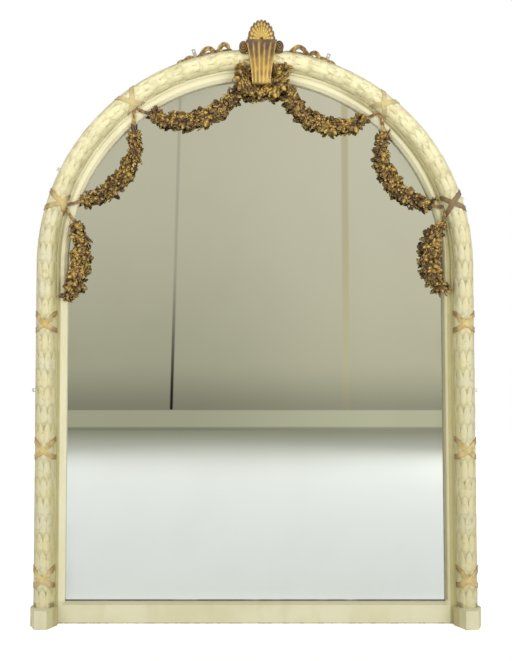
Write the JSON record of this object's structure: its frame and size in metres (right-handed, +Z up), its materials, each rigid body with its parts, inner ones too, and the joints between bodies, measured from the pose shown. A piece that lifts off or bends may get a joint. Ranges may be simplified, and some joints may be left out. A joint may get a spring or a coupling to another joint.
{
  "type": "overmantel mirror",
  "caption": "Round-arched overmantel mirror: painted laurel moulding with crossed ribbon ties, gilt keystone, shell and flower swags, plinth feet and wall plates.",
  "frame": {"origin": "middle of the bottom back edge of the rail, where the wall meets the shelf", "axes": "+X is the viewer's right, +Y goes into the wall, +Z is up"},
  "size_m": [1.276, 0.114, 1.699],
  "materials": {
    "painted_wood": "aged cream paint",
    "gilt": "aged gilding",
    "bare_wood": "bare pine",
    "mirror": "silvered glass",
    "steel": "dull",
    "wire": "tarnished"
  },
  "bodies": {
    "root": {"arch_carcass_1": "painted_wood", "arch_carcass_2": "painted_wood", "arch_carcass_3": "painted_wood", "arch_carcass_4": "painted_wood", "backboard_1": "bare_wood", "backboard_2": "bare_wood", "backboard_3": "bare_wood", "backboard_4": "bare_wood", "backboard_5": "bare_wood", "backboard_6": "bare_wood", "backboard_screws": "steel", "bottom_rail": "painted_wood", "crest_dowels": "bare_wood", "crest_garland": "gilt", "drop_left": "gilt", "drop_right": "gilt", "frame_dowels": "bare_wood", "glazing_blocks": "bare_wood", "keystone": "gilt", "laurel_moulding_arch_1": "painted_wood", "laurel_moulding_arch_2": "painted_wood", "laurel_moulding_arch_3": "painted_wood", "laurel_moulding_arch_4": "painted_wood", "laurel_moulding_left": "painted_wood", "laurel_moulding_right": "painted_wood", "mirror_plate": "mirror", "plinth_left": "painted_wood", "plinth_right": "painted_wood", "rail_fascia": "painted_wood", "ribbon_bow_left": "gilt", "ribbon_bow_right": "gilt", "ribbon_ties_left": "gilt", "ribbon_ties_right": "gilt", "setting_blocks": "bare_wood", "shell": "gilt", "sight_slip_arch_1": "painted_wood", "sight_slip_arch_2": "painted_wood", "sight_slip_arch_3": "painted_wood", "sight_slip_arch_4": "painted_wood", "sight_slip_left": "painted_wood", "sight_slip_right": "painted_wood", "stile_left": "painted_wood", "stile_right": "painted_wood", "swag_lower_left": "gilt", "swag_lower_right": "gilt", "swag_upper_left": "gilt", "swag_upper_right": "gilt", "swag_wires": "wire", "volute_left": "gilt", "volute_right": "gilt", "wall_plate_high_left": "steel", "wall_plate_high_right": "steel", "wall_plate_low_left": "steel", "wall_plate_low_right": "steel", "wall_plate_screws": "steel", "wall_plate_top_left": "steel", "wall_plate_top_right": "steel"}
  },
  "joints": []
}
